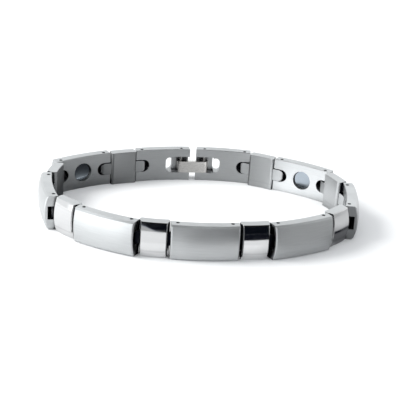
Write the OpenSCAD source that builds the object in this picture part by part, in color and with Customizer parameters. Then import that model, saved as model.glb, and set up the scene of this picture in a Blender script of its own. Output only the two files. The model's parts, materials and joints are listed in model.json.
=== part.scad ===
// Magnetic titanium link bracelet, closed, standing on its edge as a whole loop.
// The loop lies in the XY plane with its long way along X and its front at -Y, and Z runs up the links' height.
// Each link is drawn in its own frame: X along the chain, +Y towards the wrist, and Z up.

/* [All links] */
// Height of every link, from one edge of the band to the other
link_h = 8.2; // [7.8:0.1:9]
// How far the middle of a link's outer face stands out past its edges
dome = 0.8; // [0.5:0.1:1]
// Small chamfer along the long edges of a link's inner face, and of a short link's outer face
edge_break = 0.12; // [0.05:0.01:0.2]
// Chamfer on the outer face's end edges
end_break = 0.22; // [0.1:0.01:0.3]

/* [Long links] */
// Length of a long link from end to end
long_len = 15; // [14:0.1:16]
// Spacing of a long link's two pins
long_pins = 12; // [11.6:0.1:12.4]
// Thickness of a long link at its edges
long_t = 2.4; // [2.2:0.1:2.8]
// Pin axis to a long link's inner face
long_in = 0.75; // [0.7:0.01:0.9]
// Chamfer along the long edges of a long link's outer face
long_break = 0.25; // [0.15:0.01:0.3]
// Radius that a long link is curved to, at its pins
long_r = 48.5; // [40:0.5:60]

/* [Short links] */
// Length of a short link's polished face
short_len = 6; // [5.6:0.1:6.2]
// Spacing of a short link's two pins
short_pins = 10.1; // [9.9:0.1:10.6]
// Thickness of a short link at its edges
short_t = 2.45; // [2.3:0.05:2.7]
// Pin axis to a short link's inner face, at its middle
short_in = 1.25; // [1:0.05:1.35]
// Radius that a short link is curved to, at its pins
short_r = 28; // [24:1:36]
// Rounding of a short link's inner corners
short_corner = 1; // [0.6:0.1:1.2]
// Length of a short link's inner half, which fills the joint behind the polished face
short_back = 6.7; // [6.2:0.1:6.9]

/* [Link joints] */
// Diameter of a link pin
pin_d = 0.8; // [0.7:0.05:0.9]
// Clearance all round a link pin
pin_gap = 0.03; // [0.02:0.01:0.05]
// Depth of a pin's end below the link's edge
pin_recess = 0.5; // [0.3:0.1:0.8]
// Height of the slot in the end of a long link
slot_h = 3.2; // [3:0.1:3.4]
// Length of the slot, from the link's end to its round end
slot_len = 3.4; // [3.2:0.1:3.6]
// Wall left outside the slot at the link's end
slot_wall = 0.8; // [0.6:0.05:0.9]
// Height of a short link's tongue
tongue_h = 2.9; // [2.6:0.1:2.9]
// Radius of the tongue's end about its pin
tongue_r = 0.95; // [0.85:0.05:1]
// How far the tongue's neck reaches outside the pin's axis
neck_out = 0.25; // [0.2:0.05:0.5]
// Clearance between a long link's end and the hollow that it turns in
seat_gap = 0.06; // [0.05:0.01:0.15]

/* [Magnets] */
// Diameter of a magnet
magnet_d = 4.4; // [4:0.1:4.6]
// Thickness of a magnet
magnet_t = 1.2; // [1:0.1:1.3]
// Diameter of the pocket that holds a magnet
pocket_d = 4.7; // [4.65:0.05:5]
// Depth of the pocket from the inner face
pocket_depth = 2; // [1.9:0.05:2.1]
// Gap under a magnet
magnet_gap = 0.03; // [0.02:0.01:0.05]

/* [Clasp] */
// Length of a clasp link from end to end
clasp_len = 13.7; // [13.4:0.1:14.2]
// Gap between the two clasp links, between their pins' circle ends
clasp_gap = 1.75; // [1.5:0.05:2]
// Distance of a clasp pin from the end of its link
clasp_pin_in = 2.1; // [2:0.05:2.2]
// Diameter of the clasp's hinge pin and catch pin
clasp_pin_d = 0.7; // [0.6:0.05:0.7]
// Running clearance all round the hinge pin
hinge_gap = 0.05; // [0.04:0.01:0.08]
// Clearance all round the catch pin
catch_gap = 0.1; // [0.08:0.01:0.12]
// Height of the clasp's blade
blade_h = 2.9; // [2.7:0.1:3.1]
// Thickness of the blade between its two ends
blade_t = 1.05; // [0.9:0.05:1.2]
// Radius of the blade's knuckle and of its hook
knuckle_r = 1; // [0.9:0.05:1.05]
// Height of the channel that takes the blade
channel_h = 4.2; // [3.8:0.1:4.4]
// Depth of the channel's floor outside the pins
channel_out = 1.2; // [1.15:0.05:1.3]
// Gap under the blade, which has dropped to the bottom of the channel
blade_gap = 0.1; // [0.1:0.05:0.3]
// Distance of a window's middle from the end of its clasp link
window_in = 5.1; // [5:0.05:5.4]
// Width of a window along the link
window_w = 1.9; // [1.6:0.1:2]
// Height of a window
window_h = 3.8; // [3.4:0.1:4]

/* [Loop] */
// Turn of the front long link away from the X axis, degrees
front_turn = 5; // [3:1:7]

/* [Hidden] */
$fn = 96;
// How far the chain turns at each link pin, degrees, from pin 2 round the front to pin 16
TURNS = [13, 45, 22, 36, 16, 22, 8, 7, 18, 20, 37, 30, 33, 7, 21];
LONG_LINKS = 7;
SHORT_LINKS = 8;
LINK_PINS = 16;
// The chain between the clasp links is short, long, short and so on, and its middle link is the front one
FRONT = 7;
LAST = 14;
far = 30;
titanium = [0.66, 0.67, 0.68];
polished = [0.82, 0.83, 0.84];
magnet_tint = [0.16, 0.17, 0.2];
pin_tint = [0.5, 0.5, 0.51];
blade_tint = [0.72, 0.71, 0.69];

function numbered(stem, count) = [for (i = [1:count]) str(stem, i)];

mid_z = link_h / 2;
// Outer edge's distance outside the pin circle, for the two kinds of link
long_out = long_t - long_in;
short_out = short_t - short_in;

// A point on a long link's pin circle, at distance x along the link
function on_circle(x) = [x, long_r - sqrt(long_r * long_r - x * x)];
// A unit step in the direction of an angle, and the angle of a vector
function step(angle) = [cos(angle), sin(angle)];
function angle_of(v) = atan2(v[1], v[0]);

// Pins of each kind of link in its own frame
long_pin = on_circle(long_pins / 2);
short_pin = [short_pins / 2, 0];
end_pin = on_circle(clasp_len / 2 - (long_len - long_pins) / 2);
clasp_pin = on_circle(clasp_len / 2 - clasp_pin_in);
clasp_tilt = asin(clasp_pin[0] / long_r);
blade_pins = 2 * clasp_pin_in + clasp_gap;
// Reach of a long link's inner end corner from its pin, which sets the hollow in a short link's end
seat_r = norm([long_len / 2, long_r - sqrt((long_r - long_in) ^ 2 - long_len ^ 2 / 4)] - long_pin) + seat_gap;

// Headings and pins of the chain's links, counted from the front link both ways
function pins_apart(i) = i % 2 == 0 ? short_pins : long_pins;
function heading(i) = i == FRONT ? front_turn
    : i > FRONT ? heading(i - 1) + TURNS[i - 1]
    : heading(i + 1) - TURNS[i];
function raw_pin(i) = i == FRONT ? [0, 0]
    : i > FRONT ? raw_pin(i - 1) + pins_apart(i - 1) * step(heading(i - 1))
    : raw_pin(i + 1) - pins_apart(i) * step(heading(i));

// The right clasp link turns as the table says, and the blade and the left clasp link close the loop
clasp_pins = norm([clasp_pin[0] + end_pin[0], clasp_pin[1] - end_pin[1]]);
raw_hinge = raw_pin(LAST + 1) + clasp_pins * step(heading(LAST) + TURNS[LAST]);
closing = raw_pin(0) - raw_hinge;
closing_d = norm(closing);
blade_offset = acos((blade_pins ^ 2 + closing_d ^ 2 - clasp_pins ^ 2) / (2 * blade_pins * closing_d));
raw_catch = raw_hinge + blade_pins * step(angle_of(closing) - blade_offset);

// A link's start and end pins before the loop is centred: chain links 0 to 14, then the right and left clasp links
function raw_start(i) = i <= LAST + 1 ? raw_pin(i) : raw_catch;
function raw_end(i) = i <= LAST ? raw_pin(i + 1) : i == LAST + 1 ? raw_hinge : raw_pin(0);
function own_start(i) = i > LAST + 1 ? [-clasp_pin[0], clasp_pin[1]]
    : i == LAST + 1 ? [-end_pin[0], end_pin[1]]
    : i % 2 == 0 ? [-short_pin[0], short_pin[1]] : [-long_pin[0], long_pin[1]];
function own_end(i) = i > LAST + 1 ? end_pin
    : i == LAST + 1 ? clasp_pin
    : i % 2 == 0 ? short_pin : long_pin;
function own_turn(i) = angle_of(raw_end(i) - raw_start(i)) - angle_of(own_end(i) - own_start(i));
function turned(p, angle) = [p[0] * cos(angle) - p[1] * sin(angle), p[0] * sin(angle) + p[1] * cos(angle)];
function raw_place(i, p) = raw_start(i) + turned(p - own_start(i), own_turn(i));

// The loop is centred on the box of its links' outer crests
function half_len(i) = i > LAST ? clasp_len / 2 : i % 2 == 0 ? short_len / 2 : long_len / 2;
function crest_r(i) = (i % 2 == 0 && i <= LAST ? short_r + short_out : long_r + long_out) + dome;
function arc_centre(i) = i % 2 == 0 && i <= LAST ? short_r : long_r;
function crest(i, x) = [x, arc_centre(i) - sqrt(crest_r(i) ^ 2 - x * x)];
crests = [for (i = [0:LAST + 2], s = [-1:0.1:1]) raw_place(i, crest(i, s * (half_len(i) - end_break)))];
crest_x = [for (p = crests) p[0]];
crest_y = [for (p = crests) p[1]];
centre = [(min(crest_x) + max(crest_x)) / 2, (min(crest_y) + max(crest_y)) / 2];

// Puts a link's own frame where the chain has it
module placed(i) {
    start = raw_start(i) - centre;
    own = own_start(i);
    translate([start[0], start[1], 0]) rotate([0, 0, own_turn(i)]) translate([-own[0], -own[1], 0]) children();
}

// Half of a link's outline across its height: flat edges, a plain inner side and a domed outer side
module link_section(inner_r, edge_r, outer_break) {
    dome_r = (mid_z ^ 2 + dome ^ 2) / (2 * dome);
    reach = dome + 1;
    intersection() {
        polygon([
            [inner_r + edge_break, 0],
            [edge_r - outer_break, 0],
            [edge_r + reach, reach + outer_break],
            [edge_r + reach, link_h - reach - outer_break],
            [edge_r - outer_break, link_h],
            [inner_r + edge_break, link_h],
            [inner_r, link_h - edge_break],
            [inner_r, edge_break]]);
        translate([edge_r + dome - dome_r, mid_z]) circle(r = dome_r);
    }
}

// Everything inside the chamfer on the outer face's end edge, at the +X end
module inside_end_break(half, crest_y) {
    drop = dome / sqrt(2);
    r = (mid_z ^ 2 + drop ^ 2) / (2 * drop);
    translate([half - end_break / 2, crest_y + end_break / 2, mid_z])
        rotate([0, 0, 45]) translate([0, r, 0]) rotate([0, 90, 0]) cylinder(r = r, h = 2 * far, center = true);
}

// A curved bar with a link's section, cut square at both ends, with its outer end edges chamfered
module curved_bar(half, arc_r, inner_r, edge_r, outer_break) {
    sweep = asin((half + 1) / arc_r);
    end_crest = arc_r - sqrt((edge_r + dome) ^ 2 - half * half);
    intersection() {
        translate([0, arc_r, 0]) rotate([0, 0, -90 - sweep]) rotate_extrude(angle = 2 * sweep, $fn = 360)
            link_section(inner_r, edge_r, outer_break);
        translate([-half, -far / 2, -1]) cube([2 * half, far, link_h + 2]);
        inside_end_break(half, end_crest);
        mirror([1, 0, 0]) inside_end_break(half, end_crest);
    }
}

// The slot at a link's +X end, open to the inner face and to the end
module end_slot(half) {
    floor_y = long_r - sqrt((long_r + long_out + dome) ^ 2 - half * half) + slot_wall;
    round_x = half - slot_len + slot_h / 2;
    translate([round_x, floor_y, mid_z - slot_h / 2]) cube([slot_len, far, slot_h]);
    translate([round_x, floor_y, mid_z]) rotate([-90, 0, 0]) cylinder(d = slot_h, h = far);
}

// A vertical hole right through a link
module pin_bore(p, d) {
    translate([p[0], p[1], -1]) cylinder(d = d, h = link_h + 2);
}

// A long link: a slot and a pin bore at each end, and a magnet's pocket in the middle of its inner face
module long_link(i) {
    color(titanium) placed(i) difference() {
        curved_bar(long_len / 2, long_r, long_r - long_in, long_r + long_out, long_break);
        for (side = [0, 1]) mirror([side, 0, 0]) {
            end_slot(long_len / 2);
            pin_bore(long_pin, pin_d + 2 * pin_gap);
        }
        translate([0, long_in - pocket_depth, mid_z]) rotate([-90, 0, 0]) cylinder(d = pocket_d, h = far);
    }
}

// A short link's plan, cut square at both ends on its outer side, with its inner half longer and its corners rounded
module short_plan() {
    half = short_back / 2;
    inner_y = short_r - sqrt((short_r - short_in) ^ 2 - half * half);
    translate([-short_len / 2, -far / 2]) square([short_len, far / 2]);
    difference() {
        union() {
            translate([-half, -0.2]) square([short_back, inner_y - short_corner + 0.2]);
            translate([short_corner - half, -0.2]) square([short_back - 2 * short_corner, inner_y + 0.4]);
            for (side = [-1, 1])
                translate([side * (half - short_corner), inner_y - short_corner]) circle(r = short_corner);
        }
        for (side = [-1, 1]) translate([side * short_pin[0], 0]) circle(r = seat_r);
    }
}

// The bar through a short link that ends in a tongue round each pin
module tongues() {
    tip = short_pins / 2 + tongue_r;
    intersection() {
        linear_extrude(height = link_h) {
            translate([-short_pins / 2, -neck_out]) square([short_pins, neck_out + tongue_r]);
            for (side = [-1, 1]) translate([side * short_pins / 2, 0]) circle(r = tongue_r);
        }
        translate([0, far / 2, mid_z]) rotate([90, 0, 0]) linear_extrude(height = far) {
            square([2 * tip - tongue_h, tongue_h], center = true);
            for (side = [-1, 1]) translate([side * (tip - tongue_h / 2), 0]) circle(d = tongue_h);
        }
    }
}

// Everything inside the chamfers on the end edges of a short link's polished face
module short_end_breaks() {
    crest_y = short_r - sqrt((short_r + short_out + dome) ^ 2 - short_len ^ 2 / 4);
    intersection_for (side = [0, 1]) mirror([side, 0, 0]) inside_end_break(short_len / 2, crest_y);
}

// A short link: a polished body, hollowed at each end round the next link's, and a tongue at each end
module short_link(i) {
    color(polished) placed(i) difference() {
        union() {
            intersection() {
                curved_bar(short_back / 2, short_r, short_r - short_in, short_r + short_out, edge_break);
                short_end_breaks();
                linear_extrude(height = link_h) short_plan();
            }
            tongues();
        }
        for (side = [0, 1]) mirror([side, 0, 0]) pin_bore(short_pin, pin_d + 2 * pin_gap);
    }
}

// A magnet at the bottom of its long link's pocket
module magnet(i) {
    color(magnet_tint) placed(i)
        translate([0, long_in - pocket_depth + magnet_gap, mid_z]) rotate([-90, 0, 0])
            cylinder(d = magnet_d, h = magnet_t);
}

// The pin at the start of chain link i, with both ends below the links' edges
module link_pin(i) {
    at = raw_pin(i) - centre;
    color(pin_tint) translate([at[0], at[1], pin_recess]) cylinder(d = pin_d, h = link_h - 2 * pin_recess);
}

// An oval window right through a clasp link
module window() {
    x = clasp_len / 2 - window_in;
    straight = window_h - window_w;
    translate([x - window_w / 2, -far / 2, mid_z - straight / 2]) cube([window_w, far, straight]);
    for (side = [-1, 1])
        translate([x, 0, mid_z + side * straight / 2]) rotate([90, 0, 0])
            cylinder(d = window_w, h = far, center = true);
}

// A clasp link, with its slot at -X and, at +X, the channel for the blade, which runs into the side of the window
module clasp_link() {
    channel_x = clasp_len / 2 - window_in + window_w / 3 - clasp_pin[0];
    difference() {
        curved_bar(clasp_len / 2, long_r, long_r - long_in, long_r + long_out, long_break);
        mirror([1, 0, 0]) end_slot(clasp_len / 2);
        pin_bore([-end_pin[0], end_pin[1]], pin_d + 2 * pin_gap);
        pin_bore(clasp_pin, clasp_pin_d + 2 * pin_gap);
        translate([clasp_pin[0], clasp_pin[1], mid_z - channel_h / 2]) rotate([0, 0, clasp_tilt])
            translate([channel_x, -channel_out, 0]) cube([far, far, channel_h]);
        window();
    }
}

module clasp_link_right() {
    color(titanium) placed(LAST + 1) clasp_link();
}

module clasp_link_left() {
    color(titanium) placed(LAST + 2) mirror([1, 0, 0]) clasp_link();
}

// The blade's plan: a knuckle round the hinge pin, a strip, and a hook that is open outwards round the catch pin
module blade_plan() {
    notch_d = clasp_pin_d + 2 * catch_gap;
    difference() {
        union() {
            circle(r = knuckle_r);
            translate([0, knuckle_r - blade_t]) square([blade_pins, blade_t]);
            translate([blade_pins, 0]) circle(r = knuckle_r);
        }
        circle(d = clasp_pin_d + 2 * hinge_gap);
        translate([blade_pins, 0]) circle(d = notch_d);
        translate([blade_pins - notch_d / 2, -far]) square([notch_d, far]);
    }
}

module clasp_blade() {
    at = raw_hinge - centre;
    color(blade_tint) translate([at[0], at[1], mid_z - channel_h / 2 + blade_gap])
        rotate([0, 0, angle_of(raw_catch - raw_hinge)]) linear_extrude(height = blade_h) blade_plan();
}

module clasp_pin_at(raw) {
    at = raw - centre;
    color(pin_tint) translate([at[0], at[1], pin_recess]) cylinder(d = clasp_pin_d, h = link_h - 2 * pin_recess);
}

module clasp_hinge_pin() {
    clasp_pin_at(raw_hinge);
}

module clasp_catch_pin() {
    clasp_pin_at(raw_catch);
}

for (i = [1:LONG_LINKS]) {
    long_link(2 * i - 1);
    magnet(2 * i - 1);
}
for (i = [1:SHORT_LINKS]) {
    short_link(2 * i - 2);
}
for (i = [1:LINK_PINS]) {
    link_pin(i - 1);
}
clasp_link_left();
clasp_link_right();
clasp_blade();
clasp_hinge_pin();
clasp_catch_pin();
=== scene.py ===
# Titanium link bracelet standing on its edge on a white sheet, in soft light from the left.
import json
import math

import bpy
from mathutils import Matrix, Vector

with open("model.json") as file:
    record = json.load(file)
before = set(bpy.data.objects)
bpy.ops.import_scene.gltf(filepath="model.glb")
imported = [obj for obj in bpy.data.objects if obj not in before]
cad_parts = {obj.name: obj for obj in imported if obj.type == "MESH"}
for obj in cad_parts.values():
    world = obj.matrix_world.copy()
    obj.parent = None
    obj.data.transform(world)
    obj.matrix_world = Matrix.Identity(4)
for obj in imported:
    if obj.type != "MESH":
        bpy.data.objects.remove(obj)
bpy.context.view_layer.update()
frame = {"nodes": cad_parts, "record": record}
NODES = frame["nodes"]
MM = 0.001

# Colours of the studio's light, of the painted shade on the sheet that only reflections see, and of the
# shade painted deep in the joints
COOL_WHITE = (0.97, 0.985, 1.0, 1)
PAINTED_SHADOW_BLUE = (0.5, 0.6, 1.0, 1)
DEEP_SHADE = (0.008, 0.009, 0.014, 1)


# Node helpers

class Tree:
    """Small wrapper for building a node tree."""

    def __init__(self, tree):
        self.tree = tree
        tree.nodes.clear()

    def add(self, kind, **values):
        node = self.tree.nodes.new(kind)
        for name, value in values.items():
            setattr(node, name, value)
        return node

    def put(self, value, socket):
        """Links an output to a socket, or sets the socket to a plain value."""
        if isinstance(value, bpy.types.NodeSocket):
            self.tree.links.new(value, socket)
        else:
            socket.default_value = value

    def math(self, operation, a, b=0.0, clamp=False):
        node = self.add("ShaderNodeMath", operation=operation, use_clamp=clamp)
        self.put(a, node.inputs[0])
        self.put(b, node.inputs[1])
        return node.outputs[0]

    def times(self, first, *others):
        for other in others:
            first = self.math("MULTIPLY", first, other)
        return first

    def plus(self, a, b):
        return self.math("ADD", a, b)

    def minus(self, a, b):
        return self.math("SUBTRACT", a, b)

    def azimuth(self, side, ahead):
        """Degrees from the direction ahead, growing to the side."""
        return self.math("DEGREES", self.math("ARCTAN2", side, ahead))

    def vector(self, operation, a, b=None):
        node = self.add("ShaderNodeVectorMath", operation=operation)
        self.put(a, node.inputs[0])
        if b is not None:
            self.put(b, node.inputs[1])
        return node.outputs["Value" if operation == "DOT_PRODUCT" else "Vector"]

    def xyz(self, vector):
        node = self.add("ShaderNodeSeparateXYZ")
        self.put(vector, node.inputs[0])
        return node.outputs[0], node.outputs[1], node.outputs[2]

    def ramp(self, value, low, high, to_low=0.0, to_high=1.0, kind="SMOOTHSTEP"):
        """Goes from to_low at low to to_high at high, and is level outside them."""
        node = self.add("ShaderNodeMapRange", interpolation_type=kind)
        self.put(value, node.inputs["Value"])
        node.inputs["From Min"].default_value = low
        node.inputs["From Max"].default_value = high
        self.put(to_low, node.inputs["To Min"])
        self.put(to_high, node.inputs["To Max"])
        return node.outputs["Result"]

    def band(self, value, low, high, soft):
        """One from low to high, with soft sides."""
        rise = self.ramp(value, low - soft, low + soft)
        fall = self.ramp(value, high - soft, high + soft, 1.0, 0.0)
        return self.times(rise, fall)

    def mix(self, factor, a, b):
        node = self.add("ShaderNodeMix", data_type="RGBA")
        self.put(factor, node.inputs["Factor"])
        self.put(a, node.inputs["A"])
        self.put(b, node.inputs["B"])
        return node.outputs["Result"]

    def shade(self, colour, amount):
        node = self.add("ShaderNodeVectorMath", operation="SCALE")
        self.put(colour, node.inputs[0])
        self.put(amount, node.inputs["Scale"])
        return node.outputs[0]

    def coordinates(self, kind):
        return self.add("ShaderNodeTexCoord").outputs[kind]

    def stretched(self, x, y, z):
        """Object coordinates in millimetres, scaled per axis."""
        node = self.add("ShaderNodeMapping")
        self.put(self.coordinates("Object"), node.inputs["Vector"])
        node.inputs["Scale"].default_value = (x / MM, y / MM, z / MM)
        return node.outputs["Vector"]

    def noise(self, per_mm, detail=3.0, rough=0.5):
        """Noise with so many grains to the millimetre along each axis."""
        node = self.add("ShaderNodeTexNoise")
        self.put(self.stretched(*per_mm), node.inputs["Vector"])
        node.inputs["Scale"].default_value = 1.0
        node.inputs["Detail"].default_value = detail
        node.inputs["Roughness"].default_value = rough
        return node.outputs["Fac"]


# Materials

def material(name, metallic=1.0):
    mat = bpy.data.materials.new(name)
    mat.use_nodes = True
    tree = Tree(mat.node_tree)
    shader = tree.add("ShaderNodeBsdfPrincipled")
    shader.inputs["Metallic"].default_value = metallic
    out = tree.add("ShaderNodeOutputMaterial")
    tree.put(shader.outputs[0], out.inputs["Surface"])
    return mat, tree, shader


def bump(tree, shader, height, strength, distance):
    node = tree.add("ShaderNodeBump")
    tree.put(height, node.inputs["Height"])
    node.inputs["Strength"].default_value = strength
    node.inputs["Distance"].default_value = distance
    tree.put(node.outputs[0], shader.inputs["Normal"])


def outward(tree):
    """Level direction away from the loop's hollow."""
    # the loop is about 1.4 times as long as it is deep, and the square of that is 2
    flat = tree.vector("MULTIPLY", tree.coordinates("Object"), (1, 2, 0))
    return tree.vector("NORMALIZE", flat)


def facing_out(tree):
    """One on faces that turn away from the hollow, minus one on those that turn to it."""
    face = tree.add("ShaderNodeNewGeometry").outputs["True Normal"]
    return tree.vector("DOT_PRODUCT", face, outward(tree))


def painted_crevice_shade(tree, shader, colour, rough, turned, shut, clear):
    """Painted shade: colour that turns dark, and roughness that turns dull, deep in the joints, slots
    and pockets.
    """
    search = 2.5 * MM
    dulling = 0.5
    hidden = tree.add("ShaderNodeAmbientOcclusion", samples=16)
    hidden.inputs["Distance"].default_value = search
    lit = tree.ramp(hidden.outputs["AO"], shut, clear)
    # the sheet that the bracelet stands on doesn't count on faces that turn out or in
    above_sheet = tree.xyz(tree.stretched(1, 1, 1))[2]
    out_or_in = tree.ramp(tree.math("ABSOLUTE", turned), 0.5, 0.62)
    foot = tree.times(tree.ramp(above_sheet, 1.2, 2.4, 1.0, 0.0), out_or_in)
    lit = tree.math("MAXIMUM", lit, foot)
    dull = tree.times(tree.minus(1.0, lit), dulling)
    # painted shade: the colour goes to DEEP_SHADE where the ambient occlusion finds the metal hidden
    tree.put(tree.mix(lit, DEEP_SHADE, colour), shader.inputs["Base Color"])
    tree.put(tree.plus(rough, dull), shader.inputs["Roughness"])


def brush_lines(tree):
    """Long level lines round the band."""
    return tree.noise((0.25, 0.25, 14), rough=0.6)


def brushed_along_band(tree, shader):
    """Sheen that spreads up and down, across the brush lines."""
    shader.inputs["Anisotropic"].default_value = 0.8
    shader.inputs["Anisotropic Rotation"].default_value = 0.25
    along = tree.vector("CROSS_PRODUCT", outward(tree), (0, 0, 1))
    tree.put(along, shader.inputs["Tangent"])


def brushed_titanium():
    mat, tree, shader = material("brushed_titanium")
    lines = brush_lines(tree)
    patches = tree.noise((0.12, 0.12, 0.3), detail=2.0)
    tone = tree.ramp(lines, 0.3, 0.7, kind="LINEAR")
    colour = tree.mix(tone, (0.44, 0.45, 0.455, 1), (0.51, 0.52, 0.525, 1))
    # the face on the wrist is a little darker
    turned = facing_out(tree)
    colour = tree.shade(colour, tree.ramp(turned, -0.7, -0.5, 0.85, 1.0))
    rough = tree.ramp(patches, 0.3, 0.7, 0.36, 0.42)
    # painted shade in the joints, slots and pockets
    painted_crevice_shade(tree, shader, colour, rough, turned, shut=0.2, clear=0.5)
    brushed_along_band(tree, shader)
    bump(tree, shader, lines, strength=0.25, distance=0.01 * MM)
    return mat


def polished_titanium():
    mat, tree, shader = material("polished_titanium")
    haze = tree.noise((0.6, 0.6, 2.5))
    # only the face that shows when worn is polished, and the others are as the long links
    turned = facing_out(tree)
    outer = tree.ramp(turned, 0.6, 0.7)
    plain = tree.mix(brush_lines(tree), (0.43, 0.44, 0.445, 1), (0.52, 0.53, 0.535, 1))
    plain = tree.shade(plain, tree.ramp(turned, -0.7, -0.5, 0.68, 1.0))
    bright = tree.mix(haze, (0.55, 0.55, 0.555, 1), (0.60, 0.60, 0.60, 1))
    rough = tree.ramp(outer, 0.0, 1.0, 0.38, tree.ramp(haze, 0.3, 0.7, 0.05, 0.09))
    # painted shade in the joints, slots and pockets
    painted_crevice_shade(tree, shader, tree.mix(outer, plain, bright), rough, turned, shut=0.5, clear=0.9)
    brushed_along_band(tree, shader)
    return mat


def grained(name, per_mm, detail, smooth, rough, dark, pale):
    """Metal whose colour and roughness follow one noise."""
    mat, tree, shader = material(name)
    grain = tree.noise(per_mm, detail)
    tree.put(tree.mix(grain, (*dark, 1), (*pale, 1)), shader.inputs["Base Color"])
    tree.put(tree.ramp(grain, 0.3, 0.7, smooth, rough), shader.inputs["Roughness"])
    return mat, tree, shader


def magnet():
    mat, tree, shader = grained("magnet", per_mm=(0.8, 0.8, 0.8), detail=3.0, smooth=0.08, rough=0.16,
                                dark=(0.14, 0.16, 0.18), pale=(0.18, 0.20, 0.22))
    # slightly hollow face
    off_centre = tree.vector("SUBTRACT", tree.coordinates("Generated"), (0.5, 0.5, 0.5))
    squared = tree.vector("DOT_PRODUCT", off_centre, off_centre)
    bump(tree, shader, squared, strength=1.0, distance=1.15 * MM)
    return mat


def pin():
    return grained("pin", per_mm=(3, 3, 3), detail=2.0, smooth=0.35, rough=0.5,
                   dark=(0.16, 0.155, 0.15), pale=(0.24, 0.235, 0.23))[0]


def blade():
    return grained("blade", per_mm=(0.4, 0.4, 10), detail=3.0, smooth=0.24, rough=0.32,
                   dark=(0.44, 0.43, 0.415), pale=(0.52, 0.51, 0.495))[0]


def dress():
    """Gives every node the finish of its slot."""
    slots = {part["node"]: part["material_slot"] for part in frame["record"]["subparts"]}
    made = {
        "brushed_titanium": brushed_titanium(),
        "polished_titanium": polished_titanium(),
        "magnet": magnet(),
        "pin": pin(),
        "blade": blade(),
    }
    for name, obj in NODES.items():
        for slot in obj.material_slots:
            slot.material = made[slots[name]]


# Setting

def sheet_of_white():
    bpy.ops.mesh.primitive_plane_add(size=6, location=(0, 0, 0))
    floor = bpy.context.object
    floor.name = "floor"
    mat, _, shader = material("floor", metallic=0.0)
    shader.inputs["Base Color"].default_value = (0.90, 0.91, 0.92, 1)
    shader.inputs["Roughness"].default_value = 1.0
    shader.inputs["Specular IOR Level"].default_value = 0.0
    floor.data.materials.append(mat)


def even_light():
    """Light from all round for the sheet, which reflections don't see."""
    world = bpy.data.worlds.new("studio")
    bpy.context.scene.world = world
    world.use_nodes = True
    world.cycles_visibility.glossy = False
    tree = Tree(world.node_tree)
    even = tree.add("ShaderNodeBackground")
    even.inputs["Color"].default_value = COOL_WHITE
    even.inputs["Strength"].default_value = 0.9
    out = tree.add("ShaderNodeOutputWorld")
    tree.put(even.outputs[0], out.inputs["Surface"])


def glow(name):
    """Emission that no surface looks for, so it shows only where a reflection meets it."""
    mat = bpy.data.materials.new(name)
    mat.use_nodes = True
    mat.cycles.emission_sampling = "NONE"
    tree = Tree(mat.node_tree)
    light = tree.add("ShaderNodeEmission")
    out = tree.add("ShaderNodeOutputMaterial")
    return mat, tree, light, out


def for_reflections(obj):
    """Only the metal's reflections see this piece of the setting."""
    obj.visible_camera = False
    obj.visible_diffuse = False
    obj.visible_shadow = False
    obj.visible_transmission = False
    obj.visible_volume_scatter = False


def room():
    """Dome with the bright and dark sides of the studio."""
    bpy.ops.mesh.primitive_uv_sphere_add(segments=48, ring_count=24, radius=1.5)
    dome = bpy.context.object
    dome.name = "room"
    mat, tree, light, out = glow("room")
    x, y, z = tree.xyz(tree.vector("NORMALIZE", tree.coordinates("Object")))
    # one azimuth counts from the front to the right, and the other from the back to the left
    round_front = tree.azimuth(x, tree.times(y, -1.0))
    round_back = tree.azimuth(tree.times(x, -1.0), y)
    height = tree.math("DEGREES", tree.math("ARCSINE", z))
    # dark overhead to the front, and pale to the back
    crown = tree.ramp(tree.math("ABSOLUTE", round_front), 80, 130, 0.02, 1.5)
    amount = tree.ramp(height, 46, 60, 0.65, crown)
    panels = [
        # azimuth counted from, its limits and softness, elevation's limits and softness, strength
        (round_back, -70, 140, 20, -20, 54, 5, 0.75),
        (round_front, -74, -35, 7, -20, 36, 6, 2.75),
        (round_front, -8, 26, 6, 26, 50, 4, 1.3),
    ]
    for azimuth, left, right, soft, low, high, blur, strength in panels:
        panel = tree.times(tree.band(azimuth, left, right, soft), tree.band(height, low, high, blur))
        amount = tree.plus(amount, tree.times(panel, strength))
    # dark doorway, whose foot is above the horizon at its left and below it at its right
    foot = tree.plus(tree.ramp(round_front, -30, 2, 19, -1), tree.ramp(round_front, 4, 12, 0, -40))
    above_foot = tree.ramp(tree.minus(height, foot), -1.5, 1.5)
    under_lintel = tree.ramp(height, 22, 27, 1.0, 0.0)
    doorway = tree.times(tree.band(round_front, -30, 42, 3), under_lintel, above_foot)
    amount = tree.times(amount, tree.minus(1.0, tree.times(doorway, 0.985)))
    wall_colour = (0.97, 0.99, 1.0, 1)
    doorway_colour = (0.45, 0.6, 1.0, 1)
    tree.put(tree.mix(doorway, wall_colour, doorway_colour), light.inputs["Color"])
    tree.put(amount, light.inputs["Strength"])
    tree.put(light.outputs[0], out.inputs["Surface"])
    dome.data.materials.append(mat)
    for_reflections(dome)


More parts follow.
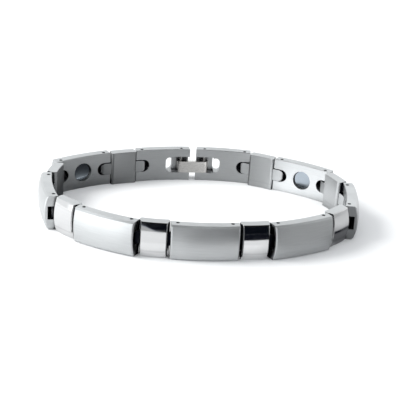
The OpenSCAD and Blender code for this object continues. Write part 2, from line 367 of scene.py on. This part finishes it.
def painted_floor_shade(tree, x, y, reach, azimuth):
    """How much painted shade each dark card puts on the sheet, as the metal's reflections see it, from
    nought to one.
    """
    # painted shade far in front, from a left edge that runs nearly straight back to the right corner
    past_left_edge = tree.ramp(tree.plus(x, tree.times(y, 0.08)), -7.5, -5)
    in_front = tree.ramp(y, -22, -12, 1, 0)
    far_front = tree.times(tree.ramp(reach, 1.48, 1.55), past_left_edge, in_front,
                           tree.ramp(azimuth, 39, 45, 1, 0))
    # painted shadow outside the loop to the right, from its front corner to its back
    right_corner = tree.times(tree.ramp(reach, 1.01, 1.1, 0.0, 0.5), tree.band(azimuth, 38, 75, 6))
    right_side = tree.times(tree.ramp(reach, 1.01, 1.1, 0.0, 0.25), tree.band(azimuth, 75, 130, 6))
    # painted contact shadow at the foot of the loop's right end
    under_right_end = tree.times(tree.band(reach, 0.9, 1.1, 0.04), tree.band(azimuth, 65, 125, 5), 0.75)
    # painted shade in the hollow, darkest at its left end
    fading = tree.plus(tree.ramp(x, -27, -8, 0.5, 0.0), tree.ramp(x, -10, 20, 0.45, 0.0))
    hollow = tree.times(tree.ramp(reach, 0.84, 0.94, 1.0, 0.0), fading,
                        tree.ramp(y, -14, -4), tree.ramp(y, 15, 19, 1, 0.5))
    return [far_front, right_corner, right_side, under_right_end, hollow]


def painted_floor_light(tree, x, y, reach, azimuth):
    """Painted light that each bright card puts on the sheet, as the metal's reflections see it."""
    # painted light in the hollow's right part, behind a slanting edge
    behind_edge = tree.ramp(tree.minus(tree.times(x, 0.86), y), -7, 0)
    hollow = tree.times(tree.ramp(reach, 0.7, 0.9, 1.0, 0.0), behind_edge,
                        tree.ramp(x, 4, 12), tree.ramp(x, 25, 31, 1, 0.2))
    # painted light on the sheet along the loop's left side
    left_side = tree.times(tree.band(reach, 0.95, 3, 0.03), tree.band(azimuth, -110, -32, 6))
    # painted light at the foot of the front links, which brightens their reflection of the sheet
    under_front = tree.times(tree.band(reach, 0.88, 1.15, 0.04), tree.band(azimuth, -30, 33, 5))
    return [tree.times(hollow, 2.0), tree.times(left_side, 0.25), tree.times(under_front, 0.2)]


def painted_floor():
    """Painted shade and painted light on the sheet, which only the metal's reflections see: dark and
    bright patches on one card flat on the sheet, round the bracelet and in its hollow.
    """
    # an oval in millimetres that is just larger than the bracelet
    half_long = 40.0
    half_deep = 29.0
    bpy.ops.mesh.primitive_plane_add(size=2, location=(0, 0, 0.05 * MM))
    card = bpy.context.object
    card.name = "painted_floor"
    mat, tree, light, out = glow("painted_floor")
    x, y = tree.xyz(tree.stretched(1, 1, 1))[:2]
    # reach is nought in the middle and one on the oval
    dx = tree.math("DIVIDE", x, half_long)
    dy = tree.math("DIVIDE", y, half_deep)
    reach = tree.math("SQRT", tree.plus(tree.times(dx, dx), tree.times(dy, dy)))
    azimuth = tree.azimuth(x, tree.times(y, -1.0))
    shade = 0.0
    for dark in painted_floor_shade(tree, x, y, reach, azimuth):
        shade = tree.math("ADD", shade, dark, clamp=True)
    extra = 0.0
    for bright in painted_floor_light(tree, x, y, reach, azimuth):
        extra = tree.plus(extra, bright)
    light.inputs["Color"].default_value = COOL_WHITE
    tree.put(tree.times(extra, tree.minus(1.0, shade)), light.inputs["Strength"])
    # painted shade: where a dark card is full, a dim blue glow takes the sheet's place
    dim = tree.add("ShaderNodeEmission")
    dim.inputs["Color"].default_value = PAINTED_SHADOW_BLUE
    dim.inputs["Strength"].default_value = 0.015
    choice = tree.add("ShaderNodeMixShader")
    tree.put(shade, choice.inputs[0])
    tree.put(tree.add("ShaderNodeBsdfTransparent").outputs[0], choice.inputs[1])
    tree.put(dim.outputs[0], choice.inputs[2])
    total = tree.add("ShaderNodeAddShader")
    tree.put(choice.outputs[0], total.inputs[0])
    tree.put(light.outputs[0], total.inputs[1])
    tree.put(total.outputs[0], out.inputs["Surface"])
    card.data.materials.append(mat)
    for_reflections(card)


def key_light():
    """Soft lamp high on the left, which gives the sheet its shadows."""
    elevation = math.radians(40)
    distance = 0.8
    data = bpy.data.lights.new("key", "AREA")
    data.shape = "DISK"
    data.size = 0.5
    data.energy = 6.0
    data.color = (1.0, 0.99, 0.97)
    lamp = bpy.data.objects.new("key", data)
    bpy.context.scene.collection.objects.link(lamp)
    lamp.location = distance * Vector((-math.cos(elevation), 0, math.sin(elevation)))
    lamp.rotation_euler = (-lamp.location).to_track_quat("-Z", "Y").to_euler()
    lamp.visible_camera = False
    lamp.visible_glossy = False


def camera():
    """Camera at the photo's viewing angle, fitted together with the links' places."""
    elevation = math.radians(22.8)
    roll = math.radians(3.47)
    distance = 289.1 * MM
    aim = Vector((-0.114, 0.706, 0)) * MM
    data = bpy.data.cameras.new("camera")
    data.sensor_width = 36
    data.lens = 109.4
    data.clip_start = 0.01
    data.clip_end = 20
    data.shift_x = 0.0081
    data.shift_y = 0.0353
    cam = bpy.data.objects.new("camera", data)
    bpy.context.scene.collection.objects.link(cam)
    place = aim + distance * Vector((0, -math.cos(elevation), math.sin(elevation)))
    cam.matrix_world = (Matrix.Translation(place)
                        @ Matrix.Rotation(math.radians(90) - elevation, 4, "X")
                        @ Matrix.Rotation(roll, 4, "Z"))
    bpy.context.scene.camera = cam


dress()
sheet_of_white()
even_light()
room()
painted_floor()
key_light()
camera()
bpy.context.scene.view_settings.view_transform = "Standard"
